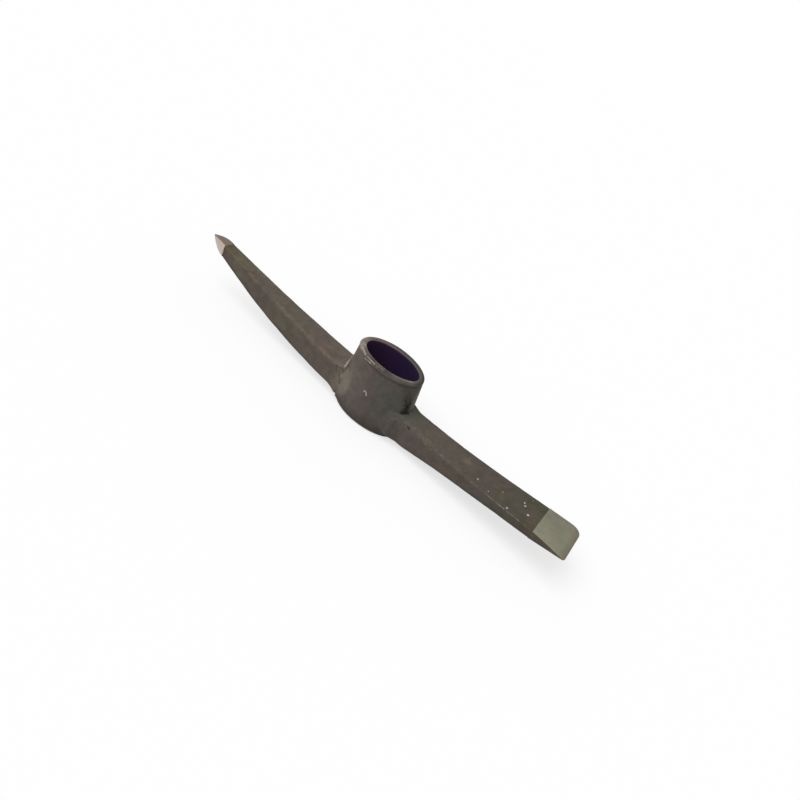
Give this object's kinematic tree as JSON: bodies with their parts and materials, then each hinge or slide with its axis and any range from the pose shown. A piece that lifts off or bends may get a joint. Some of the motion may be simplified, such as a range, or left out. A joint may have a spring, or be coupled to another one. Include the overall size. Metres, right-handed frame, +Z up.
{
  "type": "pick head",
  "caption": "Steel pick head: an oval tapered handle socket with a pointed pick arm on one side and a broad chisel arm on the other, welded on and tipped with ground steel.",
  "frame": {"origin": "centre of the eye at the socket's flat belly face, which the head stands on", "axes": "+Z up the eye's axis and out of the collar rim, +X along the chisel arm to the cutting edge, so the pick point lies towards -X"},
  "size_m": [0.5185, 0.0572, 0.075],
  "materials": {
    "forged_steel": "dark olive-brown lacquer over forged steel, satin, worn along the ridges",
    "ground_steel": "bare ground steel",
    "weld_metal": "weld run under the same dark lacquer, rubbed pale on its crest"
  },
  "bodies": {
    "root": {"eye_socket": "forged_steel", "pick_arm": "forged_steel", "pick_point": "ground_steel", "chisel_arm": "forged_steel", "chisel_bit": "ground_steel", "pick_weld": "weld_metal", "chisel_weld": "weld_metal"}
  },
  "joints": []
}
